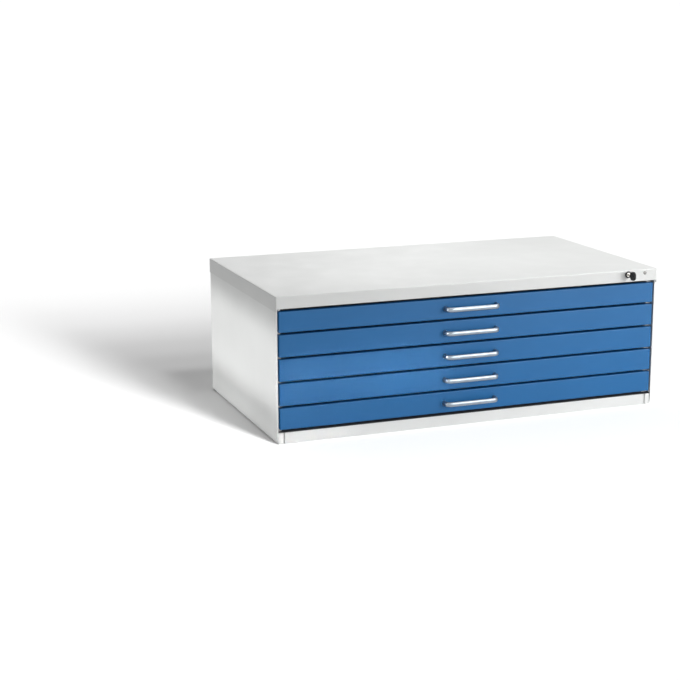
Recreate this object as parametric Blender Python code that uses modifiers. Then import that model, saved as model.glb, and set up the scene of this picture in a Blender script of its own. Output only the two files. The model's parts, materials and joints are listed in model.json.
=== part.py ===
"""Flat file cabinet: a sheet steel carcass with five shallow drawers for large sheets.

Metres, +Z up, drawer fronts towards -Y. The origin is at the middle of the base.
Drawers are numbered from the top.
"""

import math

import bmesh
import bpy
from mathutils import Matrix, Vector

# Driving dimensions
DRAWERS = 5
CABINET_WIDTH = 1.200  # over the skirts of the top cover
CARCASS_DEPTH = 0.650  # from the face of the drawer fronts to the rear of the cover
BASE_HEIGHT = 0.034  # floor to the top of the bottom panel
BASE_SETBACK = 0.002  # base behind the face of the drawer fronts
COVER_FRONT_DROP = 0.035  # height of the band above the drawers
COVER_SIDE_DROP = 0.043
COVER_OVERHANG = 0.004  # cover in front of the drawer fronts
SHEET = 0.0012  # carcass sheet
JOINT_GAP = 0.0003  # between pieces that are screwed or welded together
BEND = 0.0015  # outer radius of a fold
COVER_BEND = 0.0025

# Double side walls
SIDE_WALL = 0.020  # outer face of a side panel to the runner face of the inner side
PANEL_LIP = 0.0035  # front edge of a side panel, folded inwards
PANEL_REAR_LIP = 0.014
INNER_LIP = 0.017  # front and rear edges of an inner side, folded outwards
BASE_TUBE_GAP = 0.0006  # clearance each side of a base rail under its side wall
SEAM = 0.0015  # between the front base rail and the posts beside it
BASE_RAIL_DEPTH = 0.020
BOTTOM_LIP = 0.020  # rear edge of the bottom panel, folded down
TOP_RAIL_DEPTH = 0.020
BACK_FLOOR_GAP = 0.002

# Runners
SLIDE_THICKNESS = 0.0127
SLIDE_HEIGHT = 0.035
SLIDE_SHEET = 0.0012
BALL_GAP = 0.0006  # between nested members, up and down
OUTER_LIP = 0.0085
MIDDLE_LIP = 0.0090
INNER_SLIDE_LIP = 0.0087
MIDDLE_WEB_GAP = 0.0006
MIDDLE_INSET = 0.010  # middle member shorter than the others, at each end
SLIDE_FRONT_INSET = 0.001
SLIDE_REAR_INSET = 0.003

# Drawers
TRAY_SHEET = 0.0010
TRAY_RISE = 0.005  # tray floor above the lower edge of its front
CATCH_ZONE = 0.0135  # free stretch of tray side under the runner
TRAY_RIM = 0.0035  # tray side above the runner
TRAY_REAR_GAP = 0.013  # behind the tray
HOOD_DEPTH = 0.060  # lip over the rear of the tray that holds the sheets down
FRONT_MARGIN = 0.0084  # front above the tray rim
FRONT_GAP = 0.004  # between neighbouring fronts
EDGE_GAP = 0.004  # between the fronts and what is above and below them
FRONT_DEPTH = 0.018
FRONT_SHEET = 0.0012
FRONT_LIP = 0.012  # rear edges of a front, folded inwards to the tray
FRONT_SIDE_GAP = 0.0025
FLANGE_GAP = 0.002  # drawer front to the folded edge of the inner side

# Bow handles
HANDLE_LENGTH = 0.169
HANDLE_SHIFT = -0.012  # middle of the handle from the middle of its front
HANDLE_REACH = 0.030
HANDLE_BAR = 0.010
HANDLE_BEND = 0.014  # radius of the bar's middle line at its corners
BEND_STEPS = 5

# Lock, its bar and the catches
LOCK_FROM_SIDE = 0.100  # lock axis to the outer side of the cover
LOCK_RAISE = 0.0045  # lock axis above the middle of the band
ROSETTE_RADIUS = 0.010
ROSETTE_THICKNESS = 0.003
ROSETTE_CHAMFER = 0.001
BARREL_RADIUS = 0.008
BARREL_REST = 0.004  # barrel behind the web of the top rail
LOCK_HOLE_GAP = 0.0004
CORE_RADIUS = 0.0065
CORE_GAP = 0.0001  # running fit of the plug in its barrel
CORE_RECESS = 0.0006
CAM_THICKNESS = 0.002
CAM_WIDTH = 0.009
CAM_OVERHANG = 0.0045  # cam beyond the middle of its pin
CAM_GAP = 0.0004  # cam to the locking bar
PIN_RADIUS = 0.002
PIN_THROW = 0.006  # lock axis to the middle of the cam pin
PIN_SLACK = 0.0005  # cam pin in its window in the locking bar
KEY_REACH = 0.046
KEY_THICKNESS = 0.0022
KEY_BLADE = 0.0075
KEY_DEPTH = 0.012  # blade inside the core
KEY_SLOT_GAP = 0.0003
HEAD_LENGTH = 0.027
HEAD_HEIGHT = 0.026
HEAD_THICKNESS = 0.0056
HEAD_ROUNDING = 0.0011
HEAD_HOLE_RADIUS = 0.0026
HEAD_HOLE_INSET = 0.0065  # front of the head to the middle of its hole
HEAD_OVERLAP = 0.004  # blade inside the head
BAR_WIDTH = 0.010
BAR_THICKNESS = 0.002
BAR_SETBACK = 0.003  # bar behind the folded front edge of the inner side
BAR_FOOT = 0.002  # lower end of the bar above the lowest front's lower edge
ARM_HEIGHT = 0.010
ARM_END = 0.006  # arm beyond the cam pin
TAB_HEIGHT = 0.005
TAB_RISE = 0.004  # tab above the lower edge of its drawer's front, unlocked
TAB_TIP_GAP = 0.0025  # tab to tray side
TAB_SLOT_GAP = 0.0006
CATCH_GAP = 0.0012  # catch behind its tab
CATCH_THICKNESS = 0.003
CATCH_REACH = 0.009
CATCH_RISE = 0.011  # catch above the lower edge of its drawer's front
CATCH_HEIGHT = 0.006

# Heights that follow
TRAY_HEIGHT = CATCH_ZONE + SLIDE_HEIGHT + TRAY_RIM
FRONT_HEIGHT = TRAY_RISE + TRAY_HEIGHT + FRONT_MARGIN
PITCH = FRONT_HEIGHT + FRONT_GAP
FRONTS_LOW = BASE_HEIGHT + EDGE_GAP
FRONTS_HIGH = FRONTS_LOW + DRAWERS * PITCH - FRONT_GAP
BAND_LOW = FRONTS_HIGH + EDGE_GAP
CABINET_HEIGHT = BAND_LOW + COVER_FRONT_DROP
UNDER_COVER = CABINET_HEIGHT - SHEET - JOINT_GAP
UNDER_FOLD = CABINET_HEIGHT - COVER_BEND - JOINT_GAP
RAIL_TOP = BASE_HEIGHT - SHEET - JOINT_GAP
ON_BOTTOM = BASE_HEIGHT + JOINT_GAP
INNER_TOP = FRONTS_HIGH
LOCK_Z = BAND_LOW + COVER_FRONT_DROP / 2 + LOCK_RAISE

# Depths that follow
FRONT_REACH = max(KEY_REACH, HANDLE_REACH)
FACE_Y = FRONT_REACH - (CARCASS_DEPTH + FRONT_REACH) / 2
REAR_Y = FACE_Y + CARCASS_DEPTH
COVER_FRONT_Y = FACE_Y - COVER_OVERHANG
BACK_Y = REAR_Y - SHEET - JOINT_GAP
PANEL_REAR_Y = BACK_Y - SHEET - JOINT_GAP
FLANGE_Y = FACE_Y + FRONT_DEPTH + FLANGE_GAP
INNER_REAR_Y = PANEL_REAR_Y - SHEET - JOINT_GAP
TRAY_FRONT_Y = FACE_Y + FRONT_DEPTH + JOINT_GAP
TRAY_REAR_Y = BACK_Y - SHEET - TRAY_REAR_GAP
SLIDE_FRONT_Y = FLANGE_Y + SLIDE_FRONT_INSET
SLIDE_LENGTH = TRAY_REAR_Y - SLIDE_REAR_INSET - SLIDE_FRONT_Y
SLIDE_Y = SLIDE_FRONT_Y + SLIDE_LENGTH / 2
BASE_FRONT_Y = FACE_Y + BASE_SETBACK
BAR_Y = FLANGE_Y + SHEET + BAR_SETBACK
RAIL_Y = COVER_FRONT_Y + SHEET + JOINT_GAP
CATCH_Y = BAR_Y + BAR_THICKNESS + CATCH_GAP

# Half widths that follow
COVER_X = CABINET_WIDTH / 2
PANEL_X = COVER_X - SHEET - JOINT_GAP
BACK_X = COVER_X - COVER_BEND - JOINT_GAP
INNER_X = PANEL_X - SIDE_WALL
SLIDE_X = INNER_X - JOINT_GAP
TRAY_X = SLIDE_X - SLIDE_THICKNESS - JOINT_GAP
FRONT_X = PANEL_X - PANEL_LIP - FRONT_SIDE_GAP
PANEL_INSIDE_X = PANEL_X - SHEET
CAVITY_X = (PANEL_INSIDE_X + INNER_X + SHEET) / 2
LOCK_X = COVER_X - LOCK_FROM_SIDE

# Travel of the locking bar for a quarter turn of the key
PIN_ANGLE = math.radians(45)
BAR_TRAVEL = 2 * PIN_THROW * math.sin(PIN_ANGLE)
PIN_X = LOCK_X - PIN_THROW * math.cos(PIN_ANGLE)
PIN_Z = LOCK_Z - PIN_THROW * math.sin(PIN_ANGLE)

# How far a cutter runs past what it cuts
OVERRUN = 0.004

# Sides of the round pieces
ROUND_SIDES = 32
SMALL_SIDES = 16

FRONT, REAR = (0, -1, 0), (0, 1, 0)
TOP, BOTTOM = (0, 0, 1), (0, 0, -1)
LEFT, RIGHT = (-1, 0, 0), (1, 0, 0)


def clear_scene():
    """Removes what the scene holds at the start."""
    for obj in list(bpy.data.objects):
        bpy.data.objects.remove(obj, do_unlink=True)


def new_collection(name):
    """A collection of that name in the scene."""
    made = bpy.data.collections.new(name)
    bpy.context.scene.collection.children.link(made)
    return made


def paint(name, colour, roughness, metallic):
    """A plain material for one kind of surface."""
    material = bpy.data.materials.new(name)
    material.use_nodes = True
    shader = material.node_tree.nodes["Principled BSDF"]
    shader.inputs["Base Color"].default_value = (*colour, 1.0)
    shader.inputs["Roughness"].default_value = roughness
    shader.inputs["Metallic"].default_value = metallic
    material.diffuse_color = (*colour, 1.0)
    return material


def add_object(name, mesh, collection, material=None, at=(0, 0, 0), parent=None):
    """Places a mesh at a point of the world, under the joint that carries it."""
    obj = bpy.data.objects.new(name, mesh)
    collection.objects.link(obj)
    if material is not None:
        own = material.copy()
        own.name = name
        obj.active_material = own
        obj.material_slots[0].link = "OBJECT"
        obj.material_slots[0].material = own
    carried_at = parent.location if parent else Vector((0, 0, 0))
    obj.parent = parent
    obj.location = Vector(at) - carried_at
    return obj


def joint_empty(name, at):
    """An empty on the axis of a joint."""
    empty = bpy.data.objects.new(name, None)
    empty.empty_display_size = 0.05
    PARTS.objects.link(empty)
    empty.location = at
    return empty


def mesh_of(bm, name):
    """Turns the bmesh into a mesh of that name."""
    mesh = bpy.data.meshes.new(name)
    bm.to_mesh(mesh)
    bm.free()
    return mesh


def block_bmesh(low, high):
    """A box between two corners."""
    bm = bmesh.new()
    size = [h - l for l, h in zip(low, high)]
    middle = [(h + l) / 2 for l, h in zip(low, high)]
    bmesh.ops.create_cube(bm, size=1.0)
    bmesh.ops.scale(bm, vec=size, verts=bm.verts)
    bmesh.ops.translate(bm, vec=middle, verts=bm.verts)
    return bm


def block_mesh(name, low, high):
    """A closed box between two corners."""
    return mesh_of(block_bmesh(low, high), name)


def pan_mesh(name, low, high, open_sides, lip=0.0):
    """A box between two corners with some sides left off, as an open surface.

    A lip leaves a rim of that width round each open side.
    """
    bm = block_bmesh(low, high)
    bm.normal_update()
    doomed = []
    for face in bm.faces:
        if any(face.normal.dot(Vector(side)) > 0.9 for side in open_sides):
            doomed.append(face)
    if lip:
        bmesh.ops.inset_region(bm, faces=doomed, thickness=lip)
    bmesh.ops.delete(bm, geom=doomed, context="FACES")
    return mesh_of(bm, name)


def folded_mesh(name, outline, start, end):
    """A strip folded along an outline in X and Y, drawn up from one height to another.

    The sheet lies on the left of the outline's direction, seen from above.
    """
    bm = bmesh.new()
    corners = [bm.verts.new((x, y, start)) for x, y in outline]
    edges = [bm.edges.new(pair) for pair in zip(corners, corners[1:])]
    drawn = bmesh.ops.extrude_edge_only(bm, edges=edges)
    raised = [item for item in drawn["geom"] if isinstance(item, bmesh.types.BMVert)]
    bmesh.ops.translate(bm, vec=(0, 0, end - start), verts=raised)
    bm.normal_update()
    first = corners[0].link_faces[0]
    run = corners[1].co - corners[0].co
    outwards = Vector((run.y, -run.x, 0))
    if first.normal.dot(outwards) < 0:
        bmesh.ops.reverse_faces(bm, faces=bm.faces)
    return mesh_of(bm, name)


def turned_about_x(mesh):
    """Turns a mesh whose outline is in X and Y so that it is in Z and Y, drawn along X."""
    mesh.transform(Matrix(((0, 0, 1, 0), (0, 1, 0, 0), (-1, 0, 0, 0), (0, 0, 0, 1))))
    return mesh


def fold(obj, thickness, radius):
    """Rounds the folds of an open surface and gives it its sheet, inwards."""
    bevel = obj.modifiers.new("Folds", "BEVEL")
    bevel.width = radius
    bevel.segments = 2
    bevel.limit_method = "ANGLE"
    bevel.angle_limit = math.radians(30)
    bevel.use_clamp_overlap = False
    sheet = obj.modifiers.new("Sheet", "SOLIDIFY")
    sheet.thickness = thickness
    sheet.offset = -1
    sheet.use_even_offset = True
    sheet.use_quality_normals = True


def boolean(obj, other, operation):
    """Cuts or joins another object, which is kept as a helper."""
    modifier = obj.modifiers.new(other.name, "BOOLEAN")
    modifier.operation = operation
    modifier.solver = "EXACT"
    modifier.object = other


def helper(name, mesh, at=(0, 0, 0)):
    """A cutter or a joining shape, which is not itself a part."""
    obj = add_object(name, mesh, HELPERS, at=at)
    obj.hide_render = True
    obj.display_type = "WIRE"
    return obj


def finished_mesh(obj, name):
    """The object's shape with its modifiers applied, and the object removed."""
    bpy.context.view_layer.update()
    graph = bpy.context.evaluated_depsgraph_get()
    mesh = bpy.data.meshes.new_from_object(obj.evaluated_get(graph))
    mesh.name = name
    bpy.data.objects.remove(obj)
    return mesh


def cylinder_bmesh(radius, low, high, segments):
    """A cylinder along Y between two depths."""
    bm = bmesh.new()
    bmesh.ops.create_cone(
        bm,
        cap_ends=True,
        segments=segments,
        radius1=radius,
        radius2=radius,
        depth=high - low,
    )
    bmesh.ops.rotate(bm, cent=(0, 0, 0), matrix=Matrix.Rotation(math.radians(90), 3, "X"), verts=bm.verts)
    bmesh.ops.translate(bm, vec=(0, (low + high) / 2, 0), verts=bm.verts)
    return bm


def smooth(mesh):
    """Shades a round piece smooth, with its real edges kept sharp."""
    mesh.shade_smooth()
    mesh.set_sharp_from_angle(angle=math.radians(40))


def front_low(number):
    """Height of the lower edge of a drawer's front; drawer 1 is the top one."""
    return FRONTS_LOW + (DRAWERS - number) * PITCH


def make_cover():
    """The top cover: a folded tray whose front skirt is shorter than the others."""
    low = (-COVER_X, COVER_FRONT_Y, CABINET_HEIGHT - COVER_SIDE_DROP)
    high = (COVER_X, REAR_Y, CABINET_HEIGHT)
    cover = add_object("top_cover", pan_mesh("top_cover", low, high, [BOTTOM]), PARTS, GREY)
    fold(cover, SHEET, COVER_BEND)
    notch_low = (-PANEL_X, COVER_FRONT_Y - OVERRUN, low[2] - OVERRUN)
    notch_high = (PANEL_X, FACE_Y + OVERRUN, BAND_LOW)
    notch = helper("cut_cover_notch", block_mesh("cut_cover_notch", notch_low, notch_high))
    boolean(cover, notch, "DIFFERENCE")
    boolean(cover, LOCK_CUTTER, "DIFFERENCE")


def make_side_panel(name, side):
    """An outer side skin, with a narrow folded front edge and a wide rear one."""
    outline = [
        (side * (PANEL_X - PANEL_LIP), FACE_Y),
        (side * PANEL_X, FACE_Y),
        (side * PANEL_X, PANEL_REAR_Y),
        (side * (PANEL_X - PANEL_REAR_LIP), PANEL_REAR_Y),
    ]
    if side < 0:
        outline.reverse()
    mesh = folded_mesh(name, outline, BACK_FLOOR_GAP, UNDER_FOLD)
    fold(add_object(name, mesh, PARTS, GREY), SHEET, BEND)


def make_inner_side(name, side):
    """An inner side wall, with both edges folded outwards to the side panel."""
    outline = [
        (side * (INNER_X + INNER_LIP), INNER_REAR_Y),
        (side * INNER_X, INNER_REAR_Y),
        (side * INNER_X, FLANGE_Y),
        (side * (INNER_X + INNER_LIP), FLANGE_Y),
    ]
    if side < 0:
        outline.reverse()
    mesh = folded_mesh(name, outline, ON_BOTTOM, INNER_TOP)
    wall = add_object(name, mesh, PARTS, GREY)
    fold(wall, SHEET, BEND)
    return wall


def cut_tab_slots(wall):
    """Slots in the right inner side, one for each tab of the locking bar."""
    for number in range(1, DRAWERS + 1):
        tab_low = front_low(number) + TAB_RISE
        low = (INNER_X - OVERRUN, BAR_Y - TAB_SLOT_GAP, tab_low - TAB_SLOT_GAP)
        high_z = tab_low + TAB_HEIGHT + BAR_TRAVEL + TAB_SLOT_GAP
        high = (INNER_X + SHEET + OVERRUN, BAR_Y + BAR_THICKNESS + TAB_SLOT_GAP, high_z)
        name = f"cut_tab_slot_{number}"
        boolean(wall, helper(name, block_mesh(name, low, high)), "DIFFERENCE")


def make_back():
    """The back panel, inside the rear skirt of the cover."""
    low = (-BACK_X, BACK_Y - SHEET, BACK_FLOOR_GAP)
    high = (BACK_X, BACK_Y, UNDER_FOLD)
    add_object("back_panel", block_mesh("back_panel", low, high), PARTS, GREY)


def make_bottom():
    """The bottom panel, on the base rails, with its rear edge folded down."""
    half = PANEL_INSIDE_X - JOINT_GAP
    outline = [
        (-BASE_HEIGHT + BOTTOM_LIP, INNER_REAR_Y),
        (-BASE_HEIGHT, INNER_REAR_Y),
        (-BASE_HEIGHT, BASE_FRONT_Y),
    ]
    mesh = turned_about_x(folded_mesh("bottom_panel", outline, -half, half))
    fold(add_object("bottom_panel", mesh, PARTS, GREY), SHEET, BEND)


def make_base():
    """The base: a closed channel across the front, and a tube under each side wall."""
    low = (-INNER_X + SEAM, BASE_FRONT_Y, 0)
    high = (INNER_X - SEAM, BASE_FRONT_Y + BASE_RAIL_DEPTH, RAIL_TOP)
    rail = pan_mesh("base_rail_front", low, high, [REAR])
    fold(add_object("base_rail_front", rail, PARTS, GREY), SHEET, BEND)
    reach = INNER_REAR_Y - SHEET - BOTTOM_LIP
    for name, side in (("base_rail_left", -1), ("base_rail_right", 1)):
        edges = sorted((side * INNER_X, side * (PANEL_INSIDE_X - BASE_TUBE_GAP)))
        tube = pan_mesh(name, (edges[0], BASE_FRONT_Y, 0), (edges[1], reach, RAIL_TOP), [REAR])
        fold(add_object(name, tube, PARTS, GREY), SHEET, BEND)


def make_top_rail():
    """The cross rail behind the band, a channel that is open to the rear."""
    half = PANEL_X - PANEL_LIP - JOINT_GAP
    outline = [
        (-UNDER_COVER, RAIL_Y + TOP_RAIL_DEPTH),
        (-UNDER_COVER, RAIL_Y),
        (-BAND_LOW, RAIL_Y),
        (-BAND_LOW, RAIL_Y + TOP_RAIL_DEPTH),
    ]
    mesh = turned_about_x(folded_mesh("top_rail", outline, -half, half))
    rail = add_object("top_rail", mesh, PARTS, GREY)
    fold(rail, SHEET, BEND)
    boolean(rail, LOCK_CUTTER, "DIFFERENCE")


def make_lock_cutter():
    """The hole for the lock barrel, through the cover's skirt and the top rail."""
    low = COVER_FRONT_Y - OVERRUN
    high = RAIL_Y + SHEET + OVERRUN
    bm = cylinder_bmesh(BARREL_RADIUS + LOCK_HOLE_GAP, low, high, ROUND_SIDES)
    return helper("cut_lock_hole", mesh_of(bm, "cut_lock_hole"), (LOCK_X, 0, LOCK_Z))


def make_lock_housing():
    """The lock's rosette and barrel, a turned piece with a bore through it."""
    face = -(COVER_FRONT_Y - JOINT_GAP - ROSETTE_THICKNESS)
    seat = -(COVER_FRONT_Y - JOINT_GAP)
    end = -(RAIL_Y + SHEET + BARREL_REST)
    bore = CORE_RADIUS + CORE_GAP
    profile = [
        (bore, face),
        (ROSETTE_RADIUS - ROSETTE_CHAMFER, face),
        (ROSETTE_RADIUS, face - ROSETTE_CHAMFER),
        (ROSETTE_RADIUS, seat),
        (BARREL_RADIUS, seat),
        (BARREL_RADIUS, end),
        (bore, end),
    ]
    bm = bmesh.new()
    ring = [bm.verts.new((radius, 0, depth)) for radius, depth in profile]
    for first, second in zip(ring, ring[1:] + ring[:1]):
        bm.edges.new((first, second))
    housing = add_object("lock_housing", mesh_of(bm, "lock_housing"), PARTS, NICKEL, (LOCK_X, 0, LOCK_Z))
    housing.rotation_euler = (math.radians(90), 0, 0)
    screw = housing.modifiers.new("Turned", "SCREW")
    screw.axis = "Z"
    screw.steps = ROUND_SIDES
    screw.render_steps = ROUND_SIDES
    screw.use_merge_vertices = True
    screw.merge_threshold = 0.0001
    screw.use_smooth_shade = False


def make_lock_core(joint):
    """The plug, with its keyway, and the cam and cam pin at its inner end."""
    face = COVER_FRONT_Y - JOINT_GAP - ROSETTE_THICKNESS + CORE_RECESS
    cam_rear = BAR_Y - CAM_GAP
    cam_front = cam_rear - CAM_THICKNESS
    at = (LOCK_X, 0, LOCK_Z)
    bm = cylinder_bmesh(CORE_RADIUS, face, cam_front + CAM_THICKNESS / 2, ROUND_SIDES)
    core = add_object("lock_core", mesh_of(bm, "core_plug"), PARTS, NICKEL, at)
    low = (0, cam_front, -CAM_WIDTH / 2)
    high = (PIN_THROW + CAM_OVERHANG, cam_rear, CAM_WIDTH / 2)
    bm = block_bmesh(low, high)
    turn = Matrix.Rotation(math.pi - PIN_ANGLE, 3, "Y")
    bmesh.ops.rotate(bm, cent=(0, 0, 0), matrix=turn, verts=bm.verts)
    boolean(core, helper("join_cam", mesh_of(bm, "join_cam"), at), "UNION")
    bm = cylinder_bmesh(PIN_RADIUS, cam_front + CAM_THICKNESS / 2, BAR_Y + BAR_THICKNESS, SMALL_SIDES)
    pin = helper("join_cam_pin", mesh_of(bm, "join_cam_pin"), (PIN_X, 0, PIN_Z))
    boolean(core, pin, "UNION")
    wide = KEY_THICKNESS / 2 + KEY_SLOT_GAP
    tall = KEY_BLADE / 2 + KEY_SLOT_GAP
    low = (-wide, face - OVERRUN, -tall)
    high = (wide, COVER_FRONT_Y + KEY_DEPTH + KEY_SLOT_GAP, tall)
    boolean(core, helper("cut_keyway", block_mesh("cut_keyway", low, high), at), "DIFFERENCE")
    mesh = finished_mesh(core, "lock_core")
    smooth(mesh)
    add_object("lock_core", mesh, PARTS, NICKEL, at, joint)


def make_key(joint):
    """The key: a flat blade in the keyway and an oval head with a hole for a ring."""
    tip = COVER_FRONT_Y + KEY_DEPTH
    head_front = FACE_Y - KEY_REACH
    head_rear = head_front + HEAD_LENGTH
    at = (LOCK_X, 0, LOCK_Z)
    low = (-KEY_THICKNESS / 2, head_rear - HEAD_OVERLAP, -KEY_BLADE / 2)
    high = (KEY_THICKNESS / 2, tip, KEY_BLADE / 2)
    key = add_object("key", block_mesh("key_blade", low, high), PARTS, BLACK, at)
    bm = bmesh.new()
    bmesh.ops.create_cone(bm, cap_ends=True, segments=ROUND_SIDES, radius1=0.5, radius2=0.5, depth=1)
    bmesh.ops.scale(bm, vec=(HEAD_HEIGHT, HEAD_LENGTH, HEAD_THICKNESS), verts=bm.verts)
    bmesh.ops.rotate(bm, cent=(0, 0, 0), matrix=Matrix.Rotation(math.radians(90), 3, "Y"), verts=bm.verts)
    bmesh.ops.translate(bm, vec=(0, (head_front + head_rear) / 2, 0), verts=bm.verts)
    head = helper("join_key_head", mesh_of(bm, "join_key_head"), at)
    rounding = head.modifiers.new("Rounding", "BEVEL")
    rounding.width = HEAD_ROUNDING
    rounding.segments = 1
    rounding.angle_limit = math.radians(60)
    boolean(key, head, "UNION")
    bm = bmesh.new()
    bmesh.ops.create_cone(
        bm,
        cap_ends=True,
        segments=SMALL_SIDES,
        radius1=HEAD_HOLE_RADIUS,
        radius2=HEAD_HOLE_RADIUS,
        depth=HEAD_THICKNESS + 2 * OVERRUN,
    )
    bmesh.ops.rotate(bm, cent=(0, 0, 0), matrix=Matrix.Rotation(math.radians(90), 3, "Y"), verts=bm.verts)
    hole_at = (LOCK_X, head_front + HEAD_HOLE_INSET, LOCK_Z)
    hole = helper("cut_key_hole", mesh_of(bm, "cut_key_hole"), hole_at)
    boolean(key, hole, "DIFFERENCE")
    add_object("key", finished_mesh(key, "key"), PARTS, BLACK, at, joint)


def make_locking_bar(joint):
    """The locking bar: an arm from the cam to the side wall, an upright, and a tab for each drawer."""
    near, far = BAR_Y, BAR_Y + BAR_THICKNESS
    outer = CAVITY_X + BAR_WIDTH / 2
    inner = CAVITY_X - BAR_WIDTH / 2
    arm_top = PIN_Z + ARM_HEIGHT / 2
    upright_low = FRONTS_LOW + BAR_FOOT
    upright = block_mesh("locking_bar", (inner, near, upright_low), (outer, far, arm_top))
    bar = add_object("locking_bar", upright, PARTS, ZINC)
    low = (PIN_X - PIN_RADIUS - ARM_END, near, PIN_Z - ARM_HEIGHT / 2)
    arm = helper("join_arm", block_mesh("join_arm", low, (inner + BAR_WIDTH / 2, far, arm_top)))
    boolean(bar, arm, "UNION")
    for number in range(1, DRAWERS + 1):
        tab_low = front_low(number) + TAB_RISE
        low = (TRAY_X + TAB_TIP_GAP, near, tab_low)
        high = (inner + BAR_WIDTH / 2, far, tab_low + TAB_HEIGHT)
        name = f"join_tab_{number}"
        boolean(bar, helper(name, block_mesh(name, low, high)), "UNION")
    swing = PIN_THROW * (1 - math.cos(PIN_ANGLE))
    low = (PIN_X - PIN_RADIUS - swing - PIN_SLACK, near - OVERRUN, PIN_Z - PIN_RADIUS - PIN_SLACK)
    high = (PIN_X + PIN_RADIUS + PIN_SLACK, far + OVERRUN, PIN_Z + PIN_RADIUS + PIN_SLACK)
    window = helper("cut_cam_window", block_mesh("cut_cam_window", low, high))
    boolean(bar, window, "DIFFERENCE")
    at = (CAVITY_X, BAR_Y, LOCK_Z)
    mesh = finished_mesh(bar, "locking_bar")
    mesh.transform(Matrix.Translation(-Vector(at)))
    add_object("locking_bar", mesh, PARTS, ZINC, at, joint)


def channel_mesh(name, back, depth, half_height, half_length):
    """A runner member: a channel along Y, its web at the back value of X and its lips towards +X.

    A negative depth turns the lips towards -X.
    """
    way = 1 if depth > 0 else -1
    edges = sorted((back, back + depth))
    low = (edges[0], -half_length, -half_height)
    high = (edges[1], half_length, half_height)
    open_side = RIGHT if way > 0 else LEFT
    mesh = pan_mesh(name, low, high, [FRONT, REAR, open_side])
    channel = add_object(name, mesh, PARTS, ZINC)
    sheet = channel.modifiers.new("Sheet", "SOLIDIFY")
    sheet.thickness = SLIDE_SHEET
    sheet.offset = -1
    sheet.use_even_offset = True
    sheet.use_quality_normals = True
    return finished_mesh(channel, name)


def slide_meshes():
    """The three nested members of a left runner, drawn from the wall at X = 0 towards the drawer."""
    half = SLIDE_HEIGHT / 2
    step = SLIDE_SHEET + BALL_GAP
    half_length = SLIDE_LENGTH / 2
    outer = channel_mesh("outer_slide", 0, OUTER_LIP, half, half_length)
    web = SLIDE_SHEET + MIDDLE_WEB_GAP
    middle = channel_mesh("middle_slide", web, MIDDLE_LIP, half - step, half_length - MIDDLE_INSET)
    inner = channel_mesh("inner_slide", SLIDE_THICKNESS, -INNER_SLIDE_LIP, half - 2 * step, half_length)
    return outer, middle, inner


def tray_mesh():
    """A drawer's tray, with the hood over its rear and the catch on its right side.

    Its origin is at the middle of its front, at the lower edge of the drawer's front.
    """
    length = TRAY_REAR_Y - TRAY_FRONT_Y
    rim = TRAY_RISE + TRAY_HEIGHT
    shell = pan_mesh("tray", (-TRAY_X, 0, TRAY_RISE), (TRAY_X, length, rim), [TOP])
    tray = add_object("tray", shell, PARTS, GREY)
    fold(tray, TRAY_SHEET, BEND)
    half = TRAY_X - TRAY_SHEET / 2
    low = (-half, length - HOOD_DEPTH, rim - TRAY_SHEET)
    hood = block_mesh("join_hood", low, (half, length - TRAY_SHEET / 2, rim))
    boolean(tray, helper("join_hood", hood), "UNION")
    near = CATCH_Y - TRAY_FRONT_Y
    low = (TRAY_X - TRAY_SHEET / 2, near, CATCH_RISE)
    high = (TRAY_X + CATCH_REACH, near + CATCH_THICKNESS, CATCH_RISE + CATCH_HEIGHT)
    catch = block_mesh("join_catch", low, high)
    boolean(tray, helper("join_catch", catch), "UNION")
    return finished_mesh(tray, "tray")


def front_mesh():
    """A drawer front, a folded pan with a lip round its open rear, its face at Y = 0."""
    high = (FRONT_X, FRONT_DEPTH, FRONT_HEIGHT)
    shell = pan_mesh("front", (-FRONT_X, 0, 0), high, [REAR], FRONT_LIP)
    front = add_object("front", shell, PARTS, BLUE)
    fold(front, FRONT_SHEET, BEND)
    return finished_mesh(front, "front")


def handle_curve():
    """A bow handle: a round bar bent back to the front at both ends, its foot at Y = 0."""
    radius = HANDLE_BAR / 2
    half = HANDLE_LENGTH / 2 - radius
    reach = HANDLE_REACH - radius
    points = [(-half, -JOINT_GAP)]
    for step in range(BEND_STEPS + 1):
        angle = math.radians(90) * step / BEND_STEPS
        x = -half + HANDLE_BEND * (1 - math.cos(angle))
        points.append((x, -reach + HANDLE_BEND * (1 - math.sin(angle))))
    points += [(-x, y) for x, y in reversed(points)]
    curve = bpy.data.curves.new("handle", "CURVE")
    curve.dimensions = "3D"
    spline = curve.splines.new("POLY")
    spline.points.add(len(points) - 1)
    for point, (x, y) in zip(spline.points, points):
        point.co = (x, y, 0, 1)
    curve.bevel_depth = radius
    curve.bevel_resolution = 2
    curve.use_fill_caps = True
    return curve


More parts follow.
